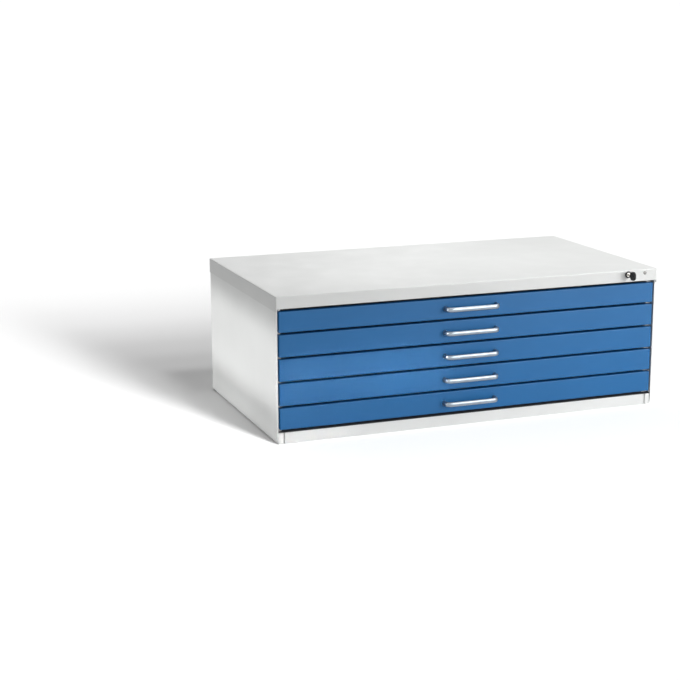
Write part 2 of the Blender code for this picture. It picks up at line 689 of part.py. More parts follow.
def make_drawer(number, meshes):
    """One drawer on its joint, with the middle members of its runners on theirs."""
    low = front_low(number)
    drawer = joint_empty(f"drawer_{number}_slide", (0, FACE_Y, low))
    travel = joint_empty(f"runners_{number}_travel", (0, SLIDE_FRONT_Y, low))
    add_object(f"front_{number}", meshes["front"], PARTS, BLUE, (0, FACE_Y, low), drawer)
    handle_at = (HANDLE_SHIFT, FACE_Y, low + FRONT_HEIGHT / 2)
    add_object(f"handle_{number}", meshes["handle"], PARTS, SILVER, handle_at, drawer)
    add_object(f"tray_{number}", meshes["tray"], PARTS, GREY, (0, TRAY_FRONT_Y, low), drawer)
    slide_z = low + TRAY_RISE + CATCH_ZONE + SLIDE_HEIGHT / 2
    for side, way in (("left", -1), ("right", 1)):
        at = (way * SLIDE_X, SLIDE_Y, slide_z)
        turn = 0 if way < 0 else math.pi
        for kind, carrier in (("outer", None), ("middle", travel), ("inner", drawer)):
            name = f"{kind}_slide_{number}_{side}"
            slide = add_object(name, meshes[kind], PARTS, ZINC, at, carrier)
            slide.rotation_euler = (0, 0, turn)


clear_scene()
PARTS = new_collection("flat_file_cabinet")
HELPERS = new_collection("cutters")

GREY = paint("light_grey_paint", (0.72, 0.74, 0.73), 0.45, 0.0)
BLUE = paint("blue_paint", (0.035, 0.15, 0.42), 0.40, 0.0)
ZINC = paint("zinc_plate", (0.62, 0.63, 0.65), 0.35, 1.0)
SILVER = paint("satin_silver", (0.80, 0.80, 0.80), 0.30, 1.0)
NICKEL = paint("nickel", (0.60, 0.59, 0.56), 0.25, 1.0)
BLACK = paint("black_plastic", (0.02, 0.02, 0.022), 0.45, 0.0)

LOCK_CUTTER = make_lock_cutter()
make_cover()
make_side_panel("side_panel_left", -1)
make_side_panel("side_panel_right", 1)
make_back()
make_bottom()
make_base()
make_inner_side("inner_side_left", -1)
cut_tab_slots(make_inner_side("inner_side_right", 1))
make_top_rail()
make_lock_housing()

lock_joint = joint_empty("lock_turn", (LOCK_X, COVER_FRONT_Y, LOCK_Z))
make_lock_core(lock_joint)
make_key(lock_joint)
make_locking_bar(joint_empty("bar_lift", (CAVITY_X, BAR_Y, LOCK_Z)))

outer_slide, middle_slide, inner_slide = slide_meshes()
drawer_meshes = {
    "front": front_mesh(),
    "tray": tray_mesh(),
    "handle": handle_curve(),
    "outer": outer_slide,
    "middle": middle_slide,
    "inner": inner_slide,
}
for drawer_number in range(1, DRAWERS + 1):
    make_drawer(drawer_number, drawer_meshes)
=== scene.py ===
"""Looks of the flat file cabinet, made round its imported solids.

Every new piece is a surface worked out with numpy: a rounded ring carried along a folded line, a folded
section drawn along a straight, a section carried along a bent bar, or a profile turned about an axis.
Lengths are in metres, X to the right, Y from the drawer fronts to the back, Z up.
"""

from __future__ import annotations

import json
import logging
import math
from dataclasses import dataclass, field
from enum import Enum

import bmesh
import bpy
import numpy as np
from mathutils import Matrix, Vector

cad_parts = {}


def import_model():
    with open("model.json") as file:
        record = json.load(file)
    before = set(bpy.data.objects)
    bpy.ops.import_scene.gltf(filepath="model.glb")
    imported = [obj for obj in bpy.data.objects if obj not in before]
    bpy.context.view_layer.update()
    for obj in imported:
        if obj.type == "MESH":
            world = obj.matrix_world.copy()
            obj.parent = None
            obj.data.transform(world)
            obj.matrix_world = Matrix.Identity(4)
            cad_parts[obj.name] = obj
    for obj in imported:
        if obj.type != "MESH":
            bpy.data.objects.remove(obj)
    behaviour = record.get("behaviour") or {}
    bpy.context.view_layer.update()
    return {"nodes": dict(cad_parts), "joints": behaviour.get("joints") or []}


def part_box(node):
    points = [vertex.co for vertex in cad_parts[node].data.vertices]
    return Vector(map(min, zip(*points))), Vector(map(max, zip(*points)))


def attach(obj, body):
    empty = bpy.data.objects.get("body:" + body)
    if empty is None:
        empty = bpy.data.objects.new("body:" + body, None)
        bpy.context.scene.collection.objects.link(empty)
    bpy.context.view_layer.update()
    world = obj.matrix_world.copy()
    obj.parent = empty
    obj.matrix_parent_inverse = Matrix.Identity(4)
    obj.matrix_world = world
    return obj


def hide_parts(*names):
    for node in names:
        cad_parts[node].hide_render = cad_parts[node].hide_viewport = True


LOG = logging.getLogger("flat_file_cabinet")
Colour = tuple[float, float, float]
Point = tuple[float, float, float]
Pair = tuple[float, float]
Socket = bpy.types.NodeSocket
DRAWERS = (1, 2, 3, 4, 5)
CARCASS = "carcass"
SHARP_ANGLE = math.radians(40)
# The smallest corner radius, and the gap under a small piece that sits on a sheet.
TINY = 0.0003
HAIR = 0.0001
# How far outside an arc the point lies that keeps the run beside it flat.
HOLD = 0.0008
# The largest share of that run which this distance takes.
HOLD_SHARE = 0.4
# Points closer than the first are one point, and edges shorter than the second go.
WELD = 1e-6
NO_LENGTH = 1e-7
# Most values of a noise pattern lie between these two.
NOISE_LOW = 0.3
NOISE_HIGH = 0.7


class Side(Enum):
    """The two sides of the cabinet, seen from the front."""

    LEFT = -1
    RIGHT = 1

    @property
    def word(self) -> str:
        """The side's name in lower case."""
        return self.name.lower()


class Plane(Enum):
    """How a flat shape's two directions and its depth turn into X, Y and Z."""

    FACING_FRONT = (0, 2, 1)
    LYING = (0, 1, 2)

    def place(self, across: np.ndarray, along: np.ndarray, depth: np.ndarray) -> np.ndarray:
        """Points in space from the plane's two directions and the depth.

        Args:
            across: Values in the first direction.
            along: Values in the second direction.
            depth: Values at right angles to both.

        Returns:
            The points, with X, Y and Z in the last axis.
        """
        parts = np.broadcast_arrays(across, along, depth)
        placed = np.empty(parts[0].shape + (3,))
        for part, axis in zip(parts, self.value):
            placed[..., axis] = part
        return placed


class Axis(Enum):
    """The direction in which a sheet is drawn, by its place among X, Y and Z."""

    X = 0
    Y = 1
    Z = 2


def show_edges(mesh: bpy.types.Mesh) -> None:
    """Shades a mesh smooth but for its real edges."""
    mesh.shade_smooth()
    mesh.set_sharp_from_angle(angle=SHARP_ANGLE)


@dataclass
class Shell:
    """Points and faces of one piece, gathered from grids."""

    points: list[np.ndarray] = field(default_factory=list)
    faces: list[np.ndarray] = field(default_factory=list)
    count: int = 0

    def add_grid(self, grid: np.ndarray, capped: bool = False) -> Shell:
        """Adds a grid whose rows are closed rings.

        Each face joins a point, the next one of its ring, and the same two of the next ring.

        Args:
            grid: Points as rows, columns and coordinates.
            capped: Whether flat faces close the first and the last ring.

        Returns:
            The shell itself.
        """
        rows, columns = grid.shape[:2]
        row = np.arange(rows - 1)[:, None] * columns
        here = np.arange(columns)
        after = np.roll(here, -1)
        quads = np.stack([row + here, row + after, row + columns + after, row + columns + here], axis=-1)
        faces = [quads.reshape(-1, 4)]
        if capped:
            faces += [here[None, ::-1], here[None] + (rows - 1) * columns]
        self.points.append(grid.reshape(-1, 3))
        self.faces += [part + self.count for part in faces]
        self.count += rows * columns
        return self

    def mesh(self, name: str) -> bpy.types.Mesh:
        """Makes the mesh, with its seams closed and its faces outwards.

        Args:
            name: The mesh's name.

        Returns:
            The mesh, shaded smooth but for its real edges.
        """
        faces = [row for part in self.faces for row in part.tolist()]
        made = bpy.data.meshes.new(name)
        made.from_pydata(np.concatenate(self.points).tolist(), [], faces)
        work = bmesh.new()
        work.from_mesh(made)
        bmesh.ops.remove_doubles(work, verts=work.verts, dist=WELD)
        bmesh.ops.dissolve_degenerate(work, edges=work.edges, dist=NO_LENGTH)
        bmesh.ops.recalc_face_normals(work, faces=work.faces)
        work.to_mesh(made)
        work.free()
        show_edges(made)
        return made


def left_of(heading: np.ndarray) -> np.ndarray:
    """Unit vectors a quarter turn left of headings in radians."""
    return np.stack([-np.sin(heading), np.cos(heading)], axis=-1)


def folded_line(
    corners: list[Pair], radii: list[float], steps: int = 4, hold: float = HOLD
) -> tuple[np.ndarray, np.ndarray]:
    """A folded line: straight runs joined by arcs.

    An arc of radius r that turns the line by an angle t touches both runs at r * tan(t / 2) from their
    corner. Its points are its centre minus r times the left normal of the heading, for headings spread
    evenly over the turn. A point just outside each arc keeps the straight runs flat in shading.

    Args:
        corners: The line's ends and its corners before rounding.
        radii: One radius for each corner between the ends.
        steps: Parts of each arc.
        hold: Distance of the point outside each arc.

    Returns:
        The points, and the unit normal to the left of the line at each.
    """
    marks = np.array(corners, float)
    radius = np.array(radii, float)
    runs = np.diff(marks, axis=0)
    length = np.linalg.norm(runs, axis=1)
    ahead = runs / length[:, None]
    heading = np.arctan2(ahead[:, 1], ahead[:, 0])
    turn = (np.diff(heading) + np.pi) % (2 * np.pi) - np.pi
    bend = np.sign(turn) * radius
    touch = radius * np.tan(np.abs(turn) / 2)
    ends = np.concatenate([[0], touch, [0]])
    reach = np.minimum(hold, HOLD_SHARE * np.maximum(length - ends[:-1] - ends[1:], 0))[:, None]
    start = marks[1:-1] - ahead[:-1] * touch[:, None]
    end = marks[1:-1] + ahead[1:] * touch[:, None]
    centre = start + left_of(heading[:-1]) * bend[:, None]
    bearing = heading[:-1, None] + turn[:, None] * np.linspace(0, 1, steps + 1)
    arc = centre[:, None] - left_of(bearing) * bend[:, None, None]
    before = (start - ahead[:-1] * reach[:-1])[:, None]
    after = (end + ahead[1:] * reach[1:])[:, None]
    points = np.concatenate([before, arc, after], axis=1).reshape(-1, 2)
    bearings = np.concatenate([bearing[:, :1], bearing, bearing[:, -1:]], axis=1).ravel()
    bearings = np.concatenate([heading[:1], bearings, heading[-1:]])
    return np.concatenate([marks[:1], points, marks[-1:]]), left_of(bearings)


def rounded_rings(
    half_across: np.ndarray,
    half_along: np.ndarray,
    radius: np.ndarray,
    steps: int = 5,
    hold: float = HOLD,
) -> np.ndarray:
    """Rounded rectangles about the origin, one ring for each entry of the arrays.

    A corner's points are its centre plus its radius times the cosine and sine of angles over a quarter
    turn, with one more point on the straight run at each end of the arc.

    Args:
        half_across: Half widths in the first direction.
        half_along: Half widths in the second direction.
        radius: Corner radii.
        steps: Parts of each corner's arc.
        hold: Distance of the point outside each arc.

    Returns:
        An array of rings, points and the two directions.
    """
    signs = np.array([[1, 1], [-1, 1], [-1, -1], [1, -1]])
    half = np.stack([half_across, half_along], axis=-1)[:, None]
    centre = signs * (half - radius[:, None, None])
    angle = np.arange(4)[:, None] * np.pi / 2 + np.linspace(0, np.pi / 2, steps + 1)
    round_part = np.stack([np.cos(angle), np.sin(angle)], axis=-1)
    arc = centre[:, :, None] + radius[:, None, None, None] * round_part
    travel = left_of(angle)
    before = arc[:, :, :1] - travel[:, :1] * hold
    after = arc[:, :, -1:] + travel[:, -1:] * hold
    return np.concatenate([before, arc, after], axis=2).reshape(len(radius), -1, 2)


@dataclass
class FoldedBox:
    """A box of folded sheet with one open side.

    Its walls are rounded rings whose inset and depth follow a folded line, first along the outside and
    then back along the inside, one sheet further in. The line starts on the closed side, a share of the
    way to its middle. A lip is a flange round the open side, and a hem is its edge folded back inside.
    """

    plane: Plane
    low: Vector
    high: Vector
    sheet: float
    corner: float
    fold: float
    lip: float = 0.0
    hem: float = 0.0
    from_high: bool = False
    start_share: float = 0.5
    hem_sheets: float = 2.1

    def shell(self) -> Shell:
        """Works the box out.

        Returns:
            The box as one closed surface.
        """
        low, high = np.array(self.low), np.array(self.high)
        across, along, deep = self.plane.value
        half = (high - low) / 2
        middle = (high + low) / 2
        depth = high[deep] - low[deep]
        line = [(min(half[across], half[along]) * self.start_share, 0.0), (0.0, 0.0), (0.0, depth)]
        radii = [self.fold]
        if self.lip:
            line.append((self.lip, depth))
            radii.append(self.fold)
        if self.hem:
            turn = self.sheet * self.hem_sheets
            line += [(turn, depth), (turn, depth - self.hem)]
            radii += [turn / 2, turn / 2]
        points, normals = folded_line(line, radii)
        inner = points - normals * self.sheet
        path = np.concatenate([points, inner[::-1]])
        inset = path[:, 0]
        radius = np.maximum(self.corner - inset, TINY)
        rings = rounded_rings(half[across] - inset, half[along] - inset, radius)
        away = path[:, 1][:, None]
        level = high[deep] - away if self.from_high else low[deep] + away
        grid = self.plane.place(rings[..., 0] + middle[across], rings[..., 1] + middle[along], level)
        return Shell().add_grid(grid, capped=True)


def drawn_sheet(
    corners: list[Pair], radii: list[float], sheet: float, axis: Axis, start: float, end: float
) -> Shell:
    """A folded sheet drawn straight from one station to another.

    The section is a folded line and its copy one sheet to the left. The walls join the two stations, and
    each end is closed by the quads between the line and its copy.

    Args:
        corners: The section before rounding, in the two directions that aren't the axis, in their order.
        radii: One radius for each corner between the ends.
        sheet: Thickness to the left of the line, or to its right where it is below nought.
        axis: The direction in which the sheet is drawn.
        start: First station.
        end: Last station.

    Returns:
        The sheet as one closed surface.
    """
    points, normals = folded_line(corners, radii)
    section = np.concatenate([points, (points + normals * sheet)[::-1]])
    plan = [section[:, 0], section[:, 1]]
    plan.insert(axis.value, np.array([start, end])[:, None])
    shell = Shell().add_grid(np.stack(np.broadcast_arrays(*plan), axis=-1))
    half = len(points)
    here = np.arange(half - 1)
    mirror = 2 * half - 1 - here
    strip = np.stack([here, here + 1, mirror - 1, mirror], axis=-1)
    shell.faces += [strip, strip + 2 * half]
    return shell


def turned_about_y(profile: np.ndarray, at: Point, sides: int = 48) -> np.ndarray:
    """A profile turned about an axis along Y.

    Each point of the profile, a radius and a depth, becomes a ring: the axis plus the radius times the
    cosine in X and the sine in Z, at that depth.

    Args:
        profile: One radius and depth in each row.
        at: A point on the axis, whose Y is added to the depths.
        sides: Points of each ring.

    Returns:
        The grid of rings.
    """
    angle = np.linspace(0, 2 * np.pi, sides, endpoint=False)
    radius = profile[:, :1]
    depth = np.broadcast_to(profile[:, 1:], (len(profile), sides))
    across, rise = radius * np.cos(angle), radius * np.sin(angle)
    return np.stack([at[0] + across, at[1] + depth, at[2] + rise], axis=-1)


def superellipse(half_across: float, half_along: float, power: float, sides: int) -> np.ndarray:
    """A closed outline between an ellipse and a rectangle.

    Each point is the cosine and sine of its angle, each raised to 2 / power with its sign kept.

    Args:
        half_across: Half width in the first direction.
        half_along: Half width in the second direction.
        power: 2 for an ellipse, and more for squarer corners.
        sides: Number of points.

    Returns:
        One point in each row.
    """
    angle = np.linspace(0, 2 * np.pi, sides, endpoint=False)
    both = np.stack([np.cos(angle), np.sin(angle)], axis=-1)
    return np.sign(both) * np.abs(both) ** (2 / power) * np.array([half_across, half_along])


class Facing(Enum):
    """The way in which a screw head looks."""

    BACK = (0, 1, 0)
    LEFT = (-1, 0, 0)
    RIGHT = (1, 0, 0)


@dataclass(frozen=True)
class ScrewHeads:
    """Low domed screw heads with a round drive, all of one size."""

    radius: float = 0.0042
    height: float = 0.0013
    sides: int = 12

    def add_to(self, shell: Shell, places: np.ndarray, facing: Facing) -> None:
        """Adds a head at each place.

        A head is a profile turned about its axis: a flat drive, its wall, a dome that falls more and more
        steeply, and a rim. All heads are one template plus each place.

        Args:
            shell: Where the heads go.
            places: One point on the seat in each row.
            facing: The way in which the heads look.
        """
        share = np.array([0.0, 0.42, 0.46, 0.6, 0.8, 0.95, 1.0, 1.0, 0.0])
        level = np.array([0.35, 0.35, 0.95, 0.88, 0.7, 0.42, 0.2, 0.0, 0.0])
        angle = np.linspace(0, 2 * np.pi, self.sides, endpoint=False)
        out = np.array(facing.value, float)
        first = np.roll(out, 1)
        second = np.cross(out, first)
        ring = np.cos(angle)[:, None] * first + np.sin(angle)[:, None] * second
        head = share[:, None, None] * self.radius * ring + level[:, None, None] * self.height * out
        for place in places:
            shell.add_grid(head + place)


class Nodes:
    """A shader tree that is written from left to right."""

    def __init__(self, name: str) -> None:
        """Starts a material with its Principled shader.

        Args:
            name: The material's name.
        """
        self.material = bpy.data.materials.new(name)
        self.material.use_nodes = True
        self.tree = self.material.node_tree
        self.shader = self.tree.nodes["Principled BSDF"]

    def fill(self, node: bpy.types.Node, **inputs: object) -> None:
        """Sets or links inputs of a node.

        Args:
            node: The node.
            **inputs: Sockets to link or values to set, by the input's name with _ for each space.
        """
        for word, value in inputs.items():
            target = node.inputs[word.replace("_", " ")]
            if isinstance(value, Socket):
                self.tree.links.new(value, target)
            else:
                target.default_value = value

    def add(self, kind: str, output: str, **inputs: object) -> Socket:
        """Adds a node and fills its inputs.

        Args:
            kind: The node's type in Blender.
            output: The name of the output that is wanted.
            **inputs: What goes into it, as for fill.

        Returns:
            The wanted output.
        """
        node = self.tree.nodes.new(kind)
        self.fill(node, **inputs)
        return node.outputs[output]

    def place(self, stretch: Point = (1.0, 1.0, 1.0)) -> Socket:
        """Object coordinates, stretched by a Mapping node."""
        coordinates = self.add("ShaderNodeTexCoord", "Object")
        return self.add("ShaderNodeMapping", "Vector", Vector=coordinates, Scale=stretch)

    def noise(self, place: Socket, scale: float, detail: float = 3.0) -> Socket:
        """A noise pattern of that many features to a metre."""
        return self.add("ShaderNodeTexNoise", "Fac", Vector=place, Scale=scale, Detail=detail)

    def spread(self, source: Socket, low: float, high: float) -> Socket:
        """Maps the middle of a noise pattern to a range of values."""
        ends = {"From_Min": NOISE_LOW, "From_Max": NOISE_HIGH, "To_Min": low, "To_Max": high}
        return self.add("ShaderNodeMapRange", "Result", Value=source, **ends)

    def bump(self, height: Socket, distance: float, strength: float) -> Socket:
        """Surface directions that a pattern raises."""
        return self.add("ShaderNodeBump", "Normal", Height=height, Distance=distance, Strength=strength)

    def tone(self, share: Socket, colour: Colour, low: float, high: float) -> Socket:
        """A colour that a pattern makes darker or lighter.

        Args:
            share: The pattern, from nought to one.
            colour: The colour.
            low: The factor of the colour where the pattern is nought.
            high: The factor where it is one.

        Returns:
            The colour's socket.
        """
        node = self.tree.nodes.new("ShaderNodeMix")
        node.data_type = "RGBA"
        ends = [socket for socket in node.inputs if socket.type == "RGBA"]
        for end, factor in zip(ends, (low, high)):
            end.default_value = (*(min(1.0, part * factor) for part in colour), 1.0)
        self.fill(node, Factor=share)
        return next(socket for socket in node.outputs if socket.type == "RGBA")


@dataclass(frozen=True)
class PowderCoat:
    """Baked powder paint: an even colour, a fine orange peel and a soft gloss."""

    name: str
    colour: Colour
    gloss_low: float = 0.38
    gloss_high: float = 0.50
    variation: float = 0.03
    ior: float = 1.5
    drift: float = 3.0
    patches: float = 14.0
    peel: float = 900.0
    peel_height: float = 0.0001
    peel_strength: float = 0.12

    def material(self) -> bpy.types.Material:
        """Makes the paint.

        Returns:
            The paint as a material.
        """
        nodes = Nodes(self.name)
        place = nodes.place()
        drift = nodes.spread(nodes.noise(place, self.drift, detail=2.0), 0.0, 1.0)
        patches = nodes.noise(place, self.patches, detail=4.0)
        peel = nodes.noise(place, self.peel, detail=1.0)
        nodes.fill(
            nodes.shader,
            Base_Color=nodes.tone(drift, self.colour, 1 - self.variation, 1 + self.variation),
            Roughness=nodes.spread(patches, self.gloss_low, self.gloss_high),
            Normal=nodes.bump(peel, self.peel_height, self.peel_strength),
            IOR=self.ior,
        )
        return nodes.material


@dataclass(frozen=True)
class PlatedSteel:
    """Zinc or nickel plate: a cool metal with faint clouds and drawing lines along the piece."""

    name: str
    colour: Colour
    roughness: float = 0.32
    lines: Point = (40.0, 2.0, 900.0)
    line_range: Pair = (0.8, 1.3)
    line_height: float = 0.00005
    line_strength: float = 0.10
    clouds: float = 60.0
    cloud_range: Pair = (0.86, 1.08)

    def material(self) -> bpy.types.Material:
        """Makes the plate.

        Returns:
            The plate as a material.
        """
        nodes = Nodes(self.name)
        cloud = nodes.spread(nodes.noise(nodes.place(), self.clouds, detail=4.0), 0.0, 1.0)
        streaks = nodes.noise(nodes.place(self.lines), 1.0)
        nodes.fill(
            nodes.shader,
            Base_Color=nodes.tone(cloud, self.colour, *self.cloud_range),
            Roughness=nodes.spread(streaks, *(self.roughness * factor for factor in self.line_range)),
            Normal=nodes.bump(streaks, self.line_height, self.line_strength),
            Metallic=1.0,
        )
        return nodes.material


@dataclass(frozen=True)
class MouldedPlastic:
    """Matt moulded plastic with a fine grain."""

    name: str
    colour: Colour
    ior: float = 1.35
    mottle: float = 300.0
    mottle_range: Pair = (0.8, 1.25)
    patches: float = 120.0
    gloss_range: Pair = (0.42, 0.58)
    grain: float = 2500.0
    grain_height: float = 0.00008
    grain_strength: float = 0.25

    def material(self) -> bpy.types.Material:
        """Makes the plastic.

        Returns:
            The plastic as a material.
        """
        nodes = Nodes(self.name)
        place = nodes.place()
        grain = nodes.noise(place, self.grain, detail=1.0)
        nodes.fill(
            nodes.shader,
            Base_Color=nodes.tone(nodes.noise(place, self.mottle), self.colour, *self.mottle_range),
            Roughness=nodes.spread(nodes.noise(place, self.patches), *self.gloss_range),
            Normal=nodes.bump(grain, self.grain_height, self.grain_strength),
            IOR=self.ior,
        )
        return nodes.material


# Lines that are as fine in every direction, for a piece that wasn't drawn.
EVEN = (60.0, 60.0, 60.0)


class Finish(Enum):
    """The finishes of the cabinet, each with the record's slot that it stands for."""

    BODY = ("light_grey_paint", PowderCoat("body_paint", (0.74, 0.75, 0.74)))
    # The cover's paint is the body's light grey made darker: painted shade, so that the cover's side
    # skirts read darker.
    COVER = ("cover_grey", PowderCoat("cover_paint", (0.66, 0.67, 0.66)))
    # The bottom panel is painted near black: painted shade for the dark line in the gap over the base,
    # where the real panel is light grey like the body.
    BOTTOM = ("light_grey_paint", PowderCoat("bottom_paint", (0.060, 0.062, 0.066), 0.55, 0.65, ior=1.35))
    TRAY = ("light_grey_paint", PowderCoat("tray_paint", (0.70, 0.71, 0.70), 0.42, 0.55))
    FRONT = ("blue_paint", PowderCoat("front_paint", (0.009, 0.120, 0.320), 0.36, 0.46, 0.05, 1.40))
    ZINC = ("zinc_plate", PlatedSteel("zinc_plate_finish", (0.62, 0.64, 0.66)))
    SCREW = ("zinc_plate", PlatedSteel("screw_finish", (0.36, 0.37, 0.39), 0.36, EVEN))
    BAR = ("satin_silver", PlatedSteel("satin_bar_finish", (0.30, 0.34, 0.38), 0.34, (3.0, 60.0, 1200.0)))
    LOCK = ("nickel", PlatedSteel("lock_finish", (0.62, 0.61, 0.58), 0.24, EVEN))
    ROSETTE = ("nickel", PlatedSteel("rosette_finish", (0.020, 0.020, 0.022), 0.46, EVEN))
    KEY = ("black_plastic", MouldedPlastic("key_plastic", (0.008, 0.008, 0.009)))
    BUMPER = ("black_plastic", MouldedPlastic("bumper_plastic", (0.030, 0.030, 0.032), 1.45))
    BADGE = ("satin_silver", PlatedSteel("badge_finish", (0.20, 0.197, 0.190), 0.44, EVEN))

    @property
    def slot(self) -> str:
        """The record's material slot."""
        return self.value[0]


def put_up(name: str, data: bpy.types.ID) -> bpy.types.Object:
    """Puts a mesh, a lamp or a camera into the scene.

    Args:
        name: The object's name.
        data: What the object shows.

    Returns:
        The object.
    """
    made = bpy.data.objects.new(name, data)
    bpy.context.scene.collection.objects.link(made)
    return made


class Workshop:
    """Turns shells into dressed pieces that ride on their bodies."""

    def __init__(self) -> None:
        """Makes each finish once."""
        self.materials = {finish: finish.value[1].material() for finish in Finish}

    def piece(
        self, name: str, shape: Shell | bpy.types.Mesh, finish: Finish, body: str, *nodes: str
    ) -> None:
        """Adds a finished piece and reports it.

        Args:
            name: The piece's name.
            shape: Its surface, already in place.
            finish: Its finish.
            body: The CAD body that it rides on.
            *nodes: The CAD nodes that it stands for.
        """
        mesh = shape.mesh(name) if isinstance(shape, Shell) else shape
        mesh.materials.append(self.materials[finish])
        made = put_up(name, mesh)
        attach(made, body)
        if nodes:
            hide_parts(*nodes)
        LOG.info("%s: %d faces on %s", name, len(mesh.polygons), body)

    def dress(self, node: bpy.types.Object, finish: Finish) -> None:
        """Gives a CAD node that stays in view its finish.

        Args:
            node: The node's object.
            finish: Its finish.
        """
        if not node.material_slots:
            node.data.materials.append(self.materials[finish])
        for slot in node.material_slots:
            slot.material = self.materials[finish]


def cut(whole: Shell, cutters: list[Shell]) -> bpy.types.Mesh:
    """Takes closed shapes out of another.

    Args:
        whole: The closed shape to cut.
        cutters: What is taken out of it.

    Returns:
        The cut shape's mesh.
    """
    holder = put_up("to_cut", whole.mesh("to_cut"))
    tools = [put_up("cutter", cutter.mesh("cutter")) for cutter in cutters]
    for tool in tools:
        modifier = holder.modifiers.new(tool.name, "BOOLEAN")
        modifier.operation = "DIFFERENCE"
        modifier.solver = "EXACT"
        modifier.object = tool
    bpy.context.view_layer.update()
    graph = bpy.context.evaluated_depsgraph_get()
    made = bpy.data.meshes.new_from_object(holder.evaluated_get(graph))
    for helper in [holder, *tools]:
        bpy.data.objects.remove(helper)
    show_edges(made)
    return made


def block(low: Point, high: Point) -> Shell:
    """A plain cutter box, as two rings of four points.

    Args:
        low: Its lowest corner.
        high: Its highest corner.

    Returns:
        The closed box.
    """
    corners = np.array([[low[0], low[1]], [high[0], low[1]], [high[0], high[1]], [low[0], high[1]]])
    rings = np.stack([np.column_stack([corners, np.full(4, level)]) for level in (low[2], high[2])])
    return Shell().add_grid(rings, capped=True)


@dataclass
class SubAssembly:
    """Pieces of the cabinet that are made together in one shop."""

    shop: Workshop


@dataclass
class TopCover(SubAssembly):
    """The folded cover, with a front skirt that is shorter than the others and a hole for the lock."""

    lock_at: Point
    sheet: float = 0.0012
    fold: float = 0.0030
    corner: float = 0.0040
    front_skirt: float = 0.035
    notch_edge: float = 0.0015
    notch_depth: float = 0.006
    lock_hole: float = 0.0084
    cutter_reach: float = 0.01

    def build(self) -> None:
        """Makes the cover and cuts it with shapes that reach out of it."""
        low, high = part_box("top_cover")
        box = FoldedBox(Plane.LYING, low, high, self.sheet, self.corner, self.fold, from_high=True)
        radius, reach = self.lock_hole, self.cutter_reach
        notch_low = (low.x + self.notch_edge, low.y - reach, low.z - reach)
        notch_high = (high.x - self.notch_edge, low.y + self.notch_depth, high.z - self.front_skirt)
        profile = np.array([[0, -reach], [radius, -reach], [radius, reach], [0, reach]])
        hole = Shell().add_grid(turned_about_y(profile, (self.lock_at[0], low.y, self.lock_at[2])))
        mesh = cut(box.shell(), [block(notch_low, notch_high), hole])
        # Its paint is a darker copy of the body's grey: painted shade for the skirts.
        self.shop.piece("cover_sheet", mesh, Finish.COVER, CARCASS, "top_cover")


@dataclass
class SideWalls(SubAssembly):
    """The outer skins, with their folded edges."""

    sheet: float = 0.0012
    front_fold: float = 0.0030
    rear_fold: float = 0.0016
    front_lip: float = 0.0040
    rear_lip: float = 0.014
    foot_gap: float = 0.004

    def build(self) -> None:
        """Makes both skins."""
        for side in Side:
            node = f"side_panel_{side.word}"
            low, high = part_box(node)
            outer = high.x if side is Side.RIGHT else low.x
            inwards = -side.value
            line = [
                (outer + inwards * self.front_lip, low.y),
                (outer, low.y),
                (outer, high.y),
                (outer + inwards * self.rear_lip, high.y),
            ]
            folds = [self.front_fold, self.rear_fold]
            if side is Side.LEFT:
                line.reverse()
                folds.reverse()
            shell = drawn_sheet(line, folds, self.sheet, Axis.Z, low.z + self.foot_gap, high.z)
            self.shop.piece(f"side_skin_{side.word}", shell, Finish.BODY, CARCASS, node)


@dataclass
class BackWall(SubAssembly):
    """The back panel, with a shallow pressed field and its screws."""

    sheet: float = 0.0012
    edge_hold: float = 0.0009
    edge_corner: float = 4 * TINY
    field_inset: float = 0.055
    field_hold: float = 0.001
    field_corner: float = 0.030
    field_depth: float = 0.0030
    slope: float = 0.0060
    slope_steps: int = 6
    corner_steps: int = 8
    screw_inset: float = 0.03
    foot_screws: int = 7
    foot_screw_rise: float = 0.024
    low_screw_rise: float = 0.12
    high_screw_drop: float = 0.09

    def build(self) -> None:
        """Makes the panel and its screws.

        The panel is a stack of rounded rings from its edge to its middle. Their depth falls by the depth
        of the field along half a cosine wave, and from the field's edge on their corners shrink by half of
        each step inwards. The same rings one sheet further in close the panel.
        """
        low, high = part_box("back_panel")
        half = (high - low) / 2
        middle = (high + low) / 2
        share = np.linspace(0, 1, self.slope_steps + 1)
        rim = [0.0, self.edge_hold, self.field_inset - self.field_hold]
        end = self.field_inset + self.slope + self.field_hold
        inset = np.concatenate([rim, self.field_inset + share * self.slope, [end]])
        fall = np.concatenate([[0, 0, 0], (1 - np.cos(np.pi * share)) / 2, [1]]) * self.field_depth
        radius = self.field_corner - (inset - self.field_inset) / 2
        radius[:2] = self.edge_corner
        rings = rounded_rings(half.x - inset, half.z - inset, radius, self.corner_steps)
        level = high.y - fall[:, None]
        outer = Plane.FACING_FRONT.place(rings[..., 0] + middle.x, rings[..., 1] + middle.z, level)
        inner = outer - np.array([0, self.sheet, 0])
        shell = Shell().add_grid(np.concatenate([outer[::-1], inner]), capped=True)
        self.shop.piece("back_skin", shell, Finish.BODY, CARCASS, "back_panel")
        ends = (low.x + self.screw_inset, high.x - self.screw_inset)
        levels = (low.z + self.low_screw_rise, high.z - self.high_screw_drop)
        foot = [(x, high.y, low.z + self.foot_screw_rise) for x in np.linspace(*ends, self.foot_screws)]
        sides = [(x, high.y, z) for x in ends for z in levels]
        heads = Shell()
        ScrewHeads().add_to(heads, np.array(foot + sides), Facing.BACK)
        self.shop.piece("back_screws", heads, Finish.SCREW, CARCASS)


